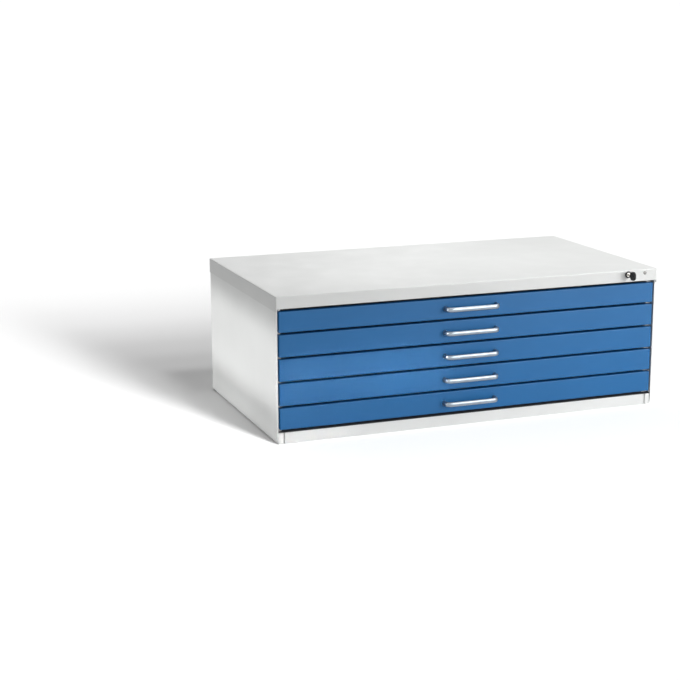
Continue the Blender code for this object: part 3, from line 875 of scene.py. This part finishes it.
@dataclass
class Base(SubAssembly):
    """The low base: a front channel between two posts, each the end of a tube under a side wall."""

    sheet: float = 0.0012
    fold: float = 0.0016
    seam: float = 0.0015
    setback: float = 0.0025

    def build(self) -> None:
        """Makes the front channel and both tubes."""
        trims = {
            "base_rail_front": (self.seam, self.seam),
            "base_rail_left": (self.setback, 0.0),
            "base_rail_right": (0.0, self.setback),
        }
        for node, (left, right) in trims.items():
            low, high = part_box(node)
            low.x += left
            high.x -= right
            box = FoldedBox(Plane.FACING_FRONT, low, high, self.sheet, self.fold, self.fold)
            self.shop.piece(node.replace("rail", "channel"), box.shell(), Finish.BODY, CARCASS, node)


@dataclass
class Lock(SubAssembly):
    """The rosette, the key and the small blank badge beside them, round a point on the lock's axis."""

    at: Point
    bore: float = 0.0066
    bore_chamfer: Pair = (0.0005, 0.0006)
    bore_hold: float = 0.0012
    barrel: float = 0.008
    barrel_chamfer: float = 0.0005
    rosette_height: float = 0.003
    rosette_fold: float = 0.0012
    rosette_sides: int = 64
    fold_steps: int = 6
    head_length: float = 0.027
    head_power: float = 2.5
    head_sides: int = 48
    ring_hole: float = 0.0026
    ring_hole_inset: float = 0.0065
    blade_in_head: float = 0.004
    blade_sheet: float = 0.0022
    blade_half_height: float = 0.00375
    blade_stations: int = 33
    cut_depth: float = 0.0011
    cut_count: int = 5
    cuts_from: float = 0.016
    tip_length: float = 0.0025
    tip_share: float = 0.25
    badge_at: Pair = (0.558, 0.409)
    badge_radius: float = 0.0055
    badge_height: float = 0.0009
    badge_sides: int = 32

    def build(self) -> None:
        """Makes the pieces in order."""
        self.build_housing()
        self.build_key()
        self.build_badge()

    def build_housing(self) -> None:
        """The rosette and barrel: one profile turned about the lock's axis."""
        low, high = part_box("lock_housing")
        seat = low.y + self.rosette_height
        bore, barrel, rosette = self.bore, self.barrel, (high.x - low.x) / 2
        corners = [(bore, low.y), (rosette, low.y), (rosette, seat)]
        edge, _ = folded_line(corners, [self.rosette_fold], self.fold_steps, TINY)
        wide, deep = self.bore_chamfer
        mouth = [[bore, low.y + deep], [bore + wide, low.y], [bore + self.bore_hold, low.y]]
        chamfer = self.barrel_chamfer
        rest = [[barrel, seat], [barrel, high.y - chamfer], [barrel - chamfer, high.y], [bore, high.y]]
        profile = np.concatenate([mouth, edge[1:], rest, mouth[:1]])
        grid = turned_about_y(profile, (self.at[0], 0, self.at[2]), self.rosette_sides)
        self.shop.piece("lock_rosette", Shell().add_grid(grid), Finish.ROSETTE, CARCASS, "lock_housing")

    def build_key(self) -> None:
        """The key: a moulded oval head with a ring hole, and a flat metal blade.

        The head is a grid of an angle round its hole and an angle round its rim's section: between the
        hole's edge and the oval's edge, the surface swells out to each side and closes round both.
        """
        low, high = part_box("key")
        length, height, thick = self.head_length, high.z - low.z, high.x - low.x
        centre = (self.at[0], low.y + length / 2, self.at[2])
        outline = superellipse(length / 2, height / 2, self.head_power, self.head_sides)
        ring = superellipse(self.ring_hole, self.ring_hole, 2, self.head_sides)
        ring[:, 0] += self.ring_hole_inset - length / 2
        share = np.array([0.0, 0.04, 0.15, 0.72, 0.80, 0.90, 0.97, 1.0])
        swell = np.array([0.55, 0.80, 0.84, 0.84, 1.00, 1.00, 0.86, 0.50]) * thick / 2
        both = np.concatenate([share, share[::-1]])[:, None, None]
        plan = ring * (1 - both) + outline * both
        out = np.broadcast_to(np.concatenate([swell, -swell[::-1]])[:, None], plan.shape[:2])
        grid = np.stack([centre[0] + out, centre[1] + plan[..., 0], centre[2] + plan[..., 1]], axis=-1)
        shell = Shell().add_grid(np.concatenate([grid, grid[:1]]))
        self.shop.piece("key_head", shell, Finish.KEY, "lock", "key")
        self.build_blade(low.y + length - self.blade_in_head, high.y)

    def build_blade(self, start: float, end: float) -> None:
        """The blade: a flat strip, drawn as rings of four points.

        Its lower edge follows a row of V cuts, which is a sine without its sign, and its height shrinks
        in a straight line towards the tip.

        Args:
            start: Y of its end in the head.
            end: Y of its tip.
        """
        station = np.linspace(start, end, self.blade_stations)
        wave = np.abs(np.sin(np.linspace(0, self.cut_count * np.pi, self.blade_stations)))
        cuts = self.cut_depth * wave * (station > start + self.cuts_from)
        top = self.blade_half_height * np.clip((end - station) / self.tip_length, self.tip_share, 1.0)
        bottom = cuts - top
        across = np.array([-1, 1, 1, -1]) * self.blade_sheet / 2
        level = np.stack([bottom, bottom, top, top], axis=-1)
        plan = (self.at[0] + across, station[:, None], self.at[2] + level)
        grid = np.stack(np.broadcast_arrays(*plan), axis=-1)
        self.shop.piece("key_blade", Shell().add_grid(grid, capped=True), Finish.LOCK, "lock")

    def build_badge(self) -> None:
        """A small blank disc on the band, as a shallow turned profile."""
        radius = self.badge_radius * np.array([0, 0.7, 0.92, 1, 1, 0])
        rise = self.badge_height * np.array([1, 1, 2 / 3, 1 / 9, 0, 0])
        at = (self.badge_at[0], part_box("top_cover")[0].y - HAIR, self.badge_at[1])
        grid = turned_about_y(np.column_stack([radius, -rise]), at, self.badge_sides)
        self.shop.piece("band_badge", Shell().add_grid(grid), Finish.BADGE, CARCASS)


@dataclass
class Drawer(SubAssembly):
    """One drawer: its blue front, bow handle, tray, hood, catch and screws.

    The shadow gaps are what the front leaves free of its CAD box, below, above and beside it. The highest
    and the lowest front have gaps of their own, under the band and over the base.
    """

    number: int
    front_sheet: float = 0.0012
    front_fold: float = 0.0024
    front_corner: float = 0.0026
    front_lip: float = 0.012
    shadow_below: float = 0.0016
    shadow_above: float = 0.0005
    shadow_beside: float = 0.0026
    shadow_under_band: float = 0.0045
    shadow_over_base: float = 0.0034
    bar_height: float = 0.0136
    bar_depth: float = 0.0092
    bar_bend: float = 0.014
    bar_power: float = 2.6
    bar_sides: int = 20
    bar_steps: int = 10
    bar_hold: float = 0.003
    foot_length: float = 0.004
    foot_growth: float = 1 / 6
    tray_sheet: float = 0.0010
    tray_corner: float = 0.0022
    tray_fold: float = 0.0015
    hem: float = 0.007
    hood_inset_sheets: float = 2.3
    hood_gap: float = 0.0002
    hood_depth: float = 0.060
    hood_drop: float = 0.008
    hood_rear_lip: float = 0.010
    hood_folds: Pair = (0.0015, 0.0018)
    catch_sheet: float = 0.0020
    catch_fold: float = 0.0028
    catch_from_front: float = 0.0094
    catch_length: float = 0.024
    catch_rises: Pair = (0.006, 0.012)
    handle_screw: ScrewHeads = ScrewHeads(0.0050, 0.0022)
    handle_screw_inset: float = 0.005
    wall_screw: ScrewHeads = ScrewHeads(0.0036, 0.0012)
    wall_screw_insets: Pair = (0.045, 0.100)
    wall_screw_count: int = 4
    wall_screw_rise: float = 0.031

    @property
    def body(self) -> str:
        """The CAD body of this drawer."""
        return f"drawer_{self.number}"

    def build(self) -> None:
        """Makes every piece of the drawer."""
        self.build_front()
        self.build_handle()
        self.build_tray()
        self.build_hood()
        self.build_catch()
        self.build_screws()

    def build_front(self) -> None:
        """The front: a shallow folded box with a lip round its open rear."""
        node = f"front_{self.number}"
        low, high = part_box(node)
        above = self.shadow_under_band if self.number == DRAWERS[0] else self.shadow_above
        below = self.shadow_over_base if self.number == DRAWERS[-1] else self.shadow_below
        low += Vector((self.shadow_beside, 0.0, below))
        high -= Vector((self.shadow_beside, 0.0, above))
        sizes = (self.front_sheet, self.front_corner, self.front_fold, self.front_lip)
        shell = FoldedBox(Plane.FACING_FRONT, low, high, *sizes).shell()
        self.shop.piece(f"drawer_face_{self.number}", shell, Finish.FRONT, self.body, node)

    def build_handle(self) -> None:
        """The handle: a flattened section carried along a bow.

        The bow's middle line lies in a level plane: out of the front, round a corner, along the bar and
        back. Each ring is the section, spread along the line's normal and along Z. Next to the front it
        grows into a foot.
        """
        node = f"handle_{self.number}"
        low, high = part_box(node)
        reach = low.y + self.bar_depth / 2
        leg = (high.x - low.x) / 2 - self.bar_depth / 2
        centre_x, centre_z = (low.x + high.x) / 2, (low.z + high.z) / 2
        corners = [(-leg, high.y), (-leg, reach), (leg, reach), (leg, high.y)]
        line, normals = folded_line(corners, [self.bar_bend] * 2, self.bar_steps, self.bar_hold)
        foot_share = np.clip((line[:, 1] - (high.y - self.foot_length)) / self.foot_length, 0, 1)
        grow = 1 + foot_share * self.foot_growth
        section = superellipse(self.bar_depth / 2, self.bar_height / 2, self.bar_power, self.bar_sides)
        plan = line[:, None] + normals[:, None] * (section[:, :1] * grow[:, None, None])
        rise = section[:, 1] * grow[:, None]
        grid = np.stack([centre_x + plan[..., 0], plan[..., 1], centre_z + rise], axis=-1)
        shell = Shell().add_grid(grid, capped=True)
        self.shop.piece(f"bow_handle_{self.number}", shell, Finish.BAR, self.body, node)

    def build_tray(self) -> None:
        """The tray, a folded box that is open above, with a hemmed rim."""
        node = f"tray_{self.number}"
        low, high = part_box(node)
        high.x = -low.x
        sizes = (self.tray_sheet, self.tray_corner, self.tray_fold)
        shell = FoldedBox(Plane.LYING, low, high, *sizes, hem=self.hem).shell()
        self.shop.piece(f"tray_shell_{self.number}", shell, Finish.TRAY, self.body, node)

    def build_hood(self) -> None:
        """The hood over the tray's rear: a rear lip, a flat top and a drop at its front edge."""
        low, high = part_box(f"tray_{self.number}")
        inset = self.tray_sheet * self.hood_inset_sheets
        rear, top, front = high.y - inset, high.z - self.hood_gap, high.y - self.hood_depth
        line = [(rear, top - self.hood_rear_lip), (rear, top), (front, top), (front, top - self.hood_drop)]
        half = -low.x - inset
        shell = drawn_sheet(line, list(self.hood_folds), self.tray_sheet, Axis.X, -half, half)
        self.shop.piece(f"tray_hood_{self.number}", shell, Finish.TRAY, self.body)

    def build_catch(self) -> None:
        """The lock's catch: an angle on the tray's right wall, whose tooth points to the right."""
        low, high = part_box(f"tray_{self.number}")
        wall = -low.x + HAIR
        tooth = low.y + self.catch_from_front
        line = [(wall, tooth + self.catch_length), (wall, tooth), (high.x, tooth)]
        stations = [low.z + rise for rise in self.catch_rises]
        shell = drawn_sheet(line, [self.catch_fold], self.catch_sheet, Axis.Z, *stations)
        self.shop.piece(f"lock_catch_{self.number}", shell, Finish.ZINC, self.body)

    def build_screws(self) -> None:
        """Screw heads inside the tray: two for the handle and four for each runner."""
        low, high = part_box(f"tray_{self.number}")
        handle_low, handle_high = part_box(f"handle_{self.number}")
        inset = self.handle_screw_inset
        front = low.y + self.tray_sheet + HAIR
        level = (handle_low.z + handle_high.z) / 2
        handle = [(x, front, level) for x in (handle_low.x + inset, handle_high.x - inset)]
        heads = Shell()
        self.handle_screw.add_to(heads, np.array(handle), Facing.BACK)
        wall = -low.x - self.tray_sheet - HAIR
        first, last = self.wall_screw_insets
        along = np.linspace(low.y + first, high.y - last, self.wall_screw_count)
        for side, facing in ((Side.LEFT, Facing.RIGHT), (Side.RIGHT, Facing.LEFT)):
            places = np.array([(side.value * wall, y, low.z + self.wall_screw_rise) for y in along])
            self.wall_screw.add_to(heads, places, facing)
        self.shop.piece(f"tray_screws_{self.number}", heads, Finish.SCREW, self.body)


class Member(Enum):
    """The three members of a runner, each with the CAD body that it rides on, before its number."""

    OUTER = CARCASS
    MIDDLE = "slides_{}"
    INNER = "drawer_{}"

    @property
    def word(self) -> str:
        """The member's name in lower case."""
        return self.name.lower()

    def body(self, number: int) -> str:
        """The CAD body in the runner of that drawer."""
        return self.value.format(number)


@dataclass
class Runner(SubAssembly):
    """One runner of a drawer: three nested channels, with a bumper and screws in their hollow."""

    number: int
    side: Side
    sheet: float = 0.0012
    fold: float = 0.0017
    bumper_length: float = 0.014
    bumper_height: float = 0.020
    bumper_corner: float = 0.0040
    bumper_turn: float = 0.0022
    bumper_straight: float = 0.8
    bumper_from_end: float = 0.0015
    bumper_clearance: float = 0.0026
    screw_inset: float = 0.020
    screw_columns: int = 6

    def node(self, member: Member) -> str:
        """The CAD node of a member."""
        return f"{member.word}_slide_{self.number}_{self.side.word}"

    def span(self, member: Member) -> tuple[float, float, int]:
        """Where a member lies in X: the inner one has its back at the tray, and the others at the wall.

        Args:
            member: The member.

        Returns:
            X of its back and of its lips' edges, and the sign of the way from the edges to the back.
        """
        low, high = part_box(self.node(member))
        away = -self.side.value if member is Member.INNER else self.side.value
        return (high.x, low.x, away) if away > 0 else (low.x, high.x, away)

    def seat(self, member: Member) -> float:
        """X of the inner face of a member's back."""
        back, _, away = self.span(member)
        return back - away * self.sheet

    def build(self) -> None:
        """Makes the three members, each a channel drawn along Y, and what is in their hollow."""
        for member in Member:
            low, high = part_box(self.node(member))
            back, edge, away = self.span(member)
            line = [(edge, low.z), (back, low.z), (back, high.z), (edge, high.z)]
            shell = drawn_sheet(line, [self.fold, self.fold], away * self.sheet, Axis.Y, low.y, high.y)
            name = f"{member.word}_channel_{self.number}_{self.side.word}"
            self.shop.piece(name, shell, Finish.ZINC, member.body(self.number), self.node(member))
        self.build_bumper()
        self.build_screws()

    def build_bumper(self) -> None:
        """The bumper in the middle member's mouth: rounded rings carried from its back into the hollow.

        The sides are straight over most of the depth and then turn in along a quarter ellipse: the inset
        grows with 1 minus the cosine of an angle, and the depth with its sine.
        """
        low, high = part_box(self.node(Member.MIDDLE))
        foot = self.seat(Member.MIDDLE)
        reach = self.seat(Member.INNER) + self.side.value * self.bumper_clearance - foot
        turn = np.linspace(0, np.pi / 2, 6)
        inset = np.concatenate([[0.0, 0.0], self.bumper_turn * (1 - np.cos(turn))])
        straight = self.bumper_straight
        share = np.concatenate([[0.0, 0.3], straight + (1 - straight) * np.sin(turn)])
        half_long, half_tall = self.bumper_length / 2, self.bumper_height / 2
        rings = rounded_rings(half_long - inset, half_tall - inset, self.bumper_corner - inset, hold=TINY)
        centre_y, centre_z = low.y + self.bumper_from_end + half_long, (low.z + high.z) / 2
        plan = (foot + share[:, None] * reach, centre_y + rings[..., 0], centre_z + rings[..., 1])
        shell = Shell().add_grid(np.stack(np.broadcast_arrays(*plan), axis=-1), capped=True)
        name = f"runner_bumper_{self.number}_{self.side.word}"
        self.shop.piece(name, shell, Finish.BUMPER, Member.MIDDLE.body(self.number))

    def build_screws(self) -> None:
        """The screws that hold the inner member to its tray, a row along its middle."""
        low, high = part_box(self.node(Member.INNER))
        seat, level = self.seat(Member.INNER), (low.z + high.z) / 2
        along = np.linspace(low.y + self.screw_inset, high.y - self.screw_inset, self.screw_columns)
        heads = Shell()
        ScrewHeads().add_to(heads, np.array([(seat, y, level) for y in along]), Facing[self.side.name])
        name = f"runner_screws_{self.number}_{self.side.word}"
        self.shop.piece(name, heads, Finish.SCREW, Member.INNER.body(self.number))


def link_to_floor(lamp: bpy.types.Object, floor: bpy.types.Object, state: str) -> None:
    """Makes a lamp light the floor alone, or everything else.

    Args:
        lamp: The lamp.
        floor: The floor.
        state: INCLUDE for the floor alone, EXCLUDE for everything else.
    """
    group = bpy.data.collections.new(f"{lamp.name}_floor")
    group.objects.link(floor)
    group.collection_objects[0].light_linking.link_state = state
    lamp.light_linking.receiver_collection = group


@dataclass(frozen=True)
class Softbox:
    """A rectangular lamp that looks at a point and leaves the floor alone.

    Its spread is the full angle of its beam: less than half a turn means a box with a grid in front.
    """

    name: str
    at: Point
    towards: Point
    size: Pair
    power: float
    spread: float = 180.0

    def build(self, floor: bpy.types.Object) -> None:
        """Puts the lamp up.

        Args:
            floor: The floor that it doesn't light.
        """
        data = bpy.data.lights.new(self.name, "AREA")
        data.shape = "RECTANGLE"
        data.size, data.size_y = self.size
        data.energy = self.power
        data.spread = math.radians(self.spread)
        lamp = put_up(self.name, data)
        lamp.location = self.at
        lamp.rotation_euler = (Vector(self.towards) - Vector(self.at)).to_track_quat("-Z", "Y").to_euler()
        link_to_floor(lamp, floor, "EXCLUDE")


@dataclass(frozen=True)
class FloorSun:
    """A broad, distant lamp that lights the floor alone and draws the object's shadow on it."""

    elevation: float
    strength: float
    width: float = 11.0
    heading: float = 16.7

    def build(self, floor: bpy.types.Object) -> None:
        """Puts the lamp up.

        Args:
            floor: The only thing that it lights.
        """
        name = f"floor_sun_{self.elevation:.0f}_{self.heading:.0f}"
        data = bpy.data.lights.new(name, "SUN")
        data.energy = self.strength / math.sin(math.radians(self.elevation))
        data.angle = math.radians(self.width)
        sun = put_up(name, data)
        sun.rotation_euler = (math.radians(90 - self.elevation), 0.0, math.radians(self.heading))
        link_to_floor(sun, floor, "INCLUDE")


def seen_share(tree: bpy.types.NodeTree) -> Socket:
    """One for rays from the camera and for those in reflections and glass, and nought for other rays.

    Args:
        tree: The tree in which the share is needed.

    Returns:
        The share's socket.
    """
    path = tree.nodes.new("ShaderNodeLightPath")
    seen = path.outputs["Is Camera Ray"]
    for kind in ("Is Glossy Ray", "Is Transmission Ray"):
        either = tree.nodes.new("ShaderNodeMath")
        either.operation = "MAXIMUM"
        tree.links.new(seen, either.inputs[0])
        tree.links.new(path.outputs[kind], either.inputs[1])
        seen = either.outputs[0]
    return seen


@dataclass
class Studio:
    """The floor, the lamps, the world and the camera.

    The floor and the world each have two levels: one as the camera and reflections see them, and a lower
    one, the fill, for the light that they throw on the object.
    """

    camera_at: Point = (-1.89427, -4.27303, 1.2614)
    pitch: float = 0.2267
    yaw: float = 0.37299
    lens: float = 82.82
    sensor: float = 36.0
    shift: Pair = (-0.035, 0.0)
    view_end: float = 1000.0
    floor_size: float = 400.0
    floor_seen: float = 0.885
    floor_fill: float = 0.45
    world_seen: float = 1.0
    world_fill: float = 0.30
    suns: tuple[FloorSun, ...] = (
        FloorSun(12, 0.32), FloorSun(18, 0.71), FloorSun(26, 0.68), FloorSun(38, 0.39), FloorSun(55, 0.51),
        FloorSun(40, 0.19, 60.0, -120.0),
    )
    boxes: tuple[Softbox, ...] = (
        Softbox("top_right_box", (1.5, -0.3, 2.6), (0.2, 0.0, 0.42), (1.6, 1.6), 19.2),
        Softbox("top_box", (0.35, 0.0, 2.2), (0.25, 0.0, 0.42), (1.2, 1.2), 3.3, 70.0),
        Softbox("side_strip", (-2.0, 0.0, 0.21), (-0.6, 0.0, 0.21), (1.8, 0.24), 0.747, 6.0),
        Softbox("side_low_strip", (-2.0, 0.8, 0.05), (-0.6, 0.8, 0.05), (1.8, 0.12), 0.24, 13.0),
        Softbox("side_foot_strip", (-1.3, 0.6, 0.022), (-0.6, 0.6, 0.022), (1.8, 0.044), 0.09, 8.0),
        Softbox("front_box", (1.6, -3.4, 1.1), (0.1, -0.3, 0.2), (1.4, 1.4), 56.0),
        Softbox("front_left_strip", (-0.33, -3.0, 0.175), (-0.33, -0.3, 0.175), (0.52, 0.08), 0.085, 4.0),
        Softbox("band_box", (2.4, -3.0, 0.9), (0.75, -0.3, 0.40), (1.3, 0.9), 2.2, 40.0),
        Softbox("low_front_box", (-0.3, -3.0, 0.0), (-0.1, -0.3, 0.0), (2.8, 0.3), 0.52, 16.0),
        Softbox("base_left_strip", (-0.88, -3.0, 0.0), (-0.88, -0.3, 0.0), (1.0, 0.08), 0.18, 5.0),
        Softbox("low_left_box", (-1.6, -2.6, 0.1), (-0.45, -0.3, 0.1), (1.0, 0.5), 0.2, 40.0),
        Softbox("rear_box", (0.5, 3.6, 1.6), (0.0, 0.3, 0.2), (2.4, 2.4), 15.0),
        Softbox("back_box", (0.4, 3.2, 0.15), (0.0, 0.35, 0.15), (2.4, 0.5), 36.0),
        Softbox("right_box", (3.0, 0.5, 0.5), (0.6, 0.0, 0.25), (1.6, 0.8), 8.0),
    )

    def build(self) -> None:
        """Sets up everything round the object."""
        floor = self.build_floor()
        self.build_world()
        for lamp in (*self.suns, *self.boxes):
            lamp.build(floor)
        self.build_camera()
        bpy.context.scene.view_settings.view_transform = "Standard"

    def build_floor(self) -> bpy.types.Object:
        """Lays a plain pale floor, which keeps the object's shadow.

        Returns:
            The floor.
        """
        half = self.floor_size / 2
        corners = np.array([[-half, -half, 0], [half, -half, 0], [half, half, 0], [-half, half, 0]])
        mesh = bpy.data.meshes.new("studio_floor")
        mesh.from_pydata(corners.tolist(), [], [[0, 1, 2, 3]])
        nodes = Nodes("studio_floor")
        tone = nodes.tone(seen_share(nodes.tree), (1.0, 1.0, 1.0), self.floor_fill, self.floor_seen)
        nodes.fill(nodes.shader, Base_Color=tone, Roughness=1.0, Specular_IOR_Level=0.0)
        mesh.materials.append(nodes.material)
        floor = put_up("studio_floor", mesh)
        return floor

    def build_world(self) -> None:
        """A world that is white to the camera and in reflections, and dimmer as a light."""
        world = bpy.data.worlds.new("studio_world")
        bpy.context.scene.world = world
        world.use_nodes = True
        tree = world.node_tree
        background = tree.nodes["Background"]
        background.inputs["Color"].default_value = (1.0, 1.0, 1.0, 1.0)
        strength = tree.nodes.new("ShaderNodeMapRange")
        strength.inputs["To Min"].default_value = self.world_fill
        strength.inputs["To Max"].default_value = self.world_seen
        tree.links.new(seen_share(tree), strength.inputs["Value"])
        tree.links.new(strength.outputs["Result"], background.inputs["Strength"])

    def build_camera(self) -> None:
        """The camera at the photograph's angle."""
        data = bpy.data.cameras.new("photo_camera")
        data.lens = self.lens
        data.sensor_width = self.sensor
        data.shift_x, data.shift_y = self.shift
        data.clip_end = self.view_end
        camera = put_up("photo_camera", data)
        camera.location = self.camera_at
        camera.rotation_euler = (math.pi / 2 - self.pitch, 0.0, -self.yaw)
        bpy.context.scene.camera = camera


def finish_of(node: str) -> Finish:
    """The finish of a CAD node, which shows where no piece replaces the node.

    Args:
        node: The node's name.

    Returns:
        The finish.
    """
    if "slide" in node or node == "locking_bar":
        return Finish.ZINC
    if node in ("lock_core", "lock_housing"):
        return Finish.LOCK
    # The bottom panel takes the near-black paint that is painted shade in the gap over the base.
    return Finish.BOTTOM if node == "bottom_panel" else Finish.BODY


def main() -> None:
    """Builds the cabinet's looks in order."""
    logging.basicConfig(level=logging.INFO, format="%(message)s")
    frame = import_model()
    shop = Workshop()
    joint = next(joint for joint in frame["joints"] if joint["name"] == "lock_turn")
    lock_at = tuple(joint["pos_m"])
    for name, node in frame["nodes"].items():
        shop.dress(node, finish_of(name))
    TopCover(shop, lock_at).build()
    SideWalls(shop).build()
    BackWall(shop).build()
    Base(shop).build()
    Lock(shop, lock_at).build()
    for number in DRAWERS:
        Drawer(shop, number).build()
        for side in Side:
            Runner(shop, number, side).build()
    Studio().build()


if __name__ == "__main__":
    main()
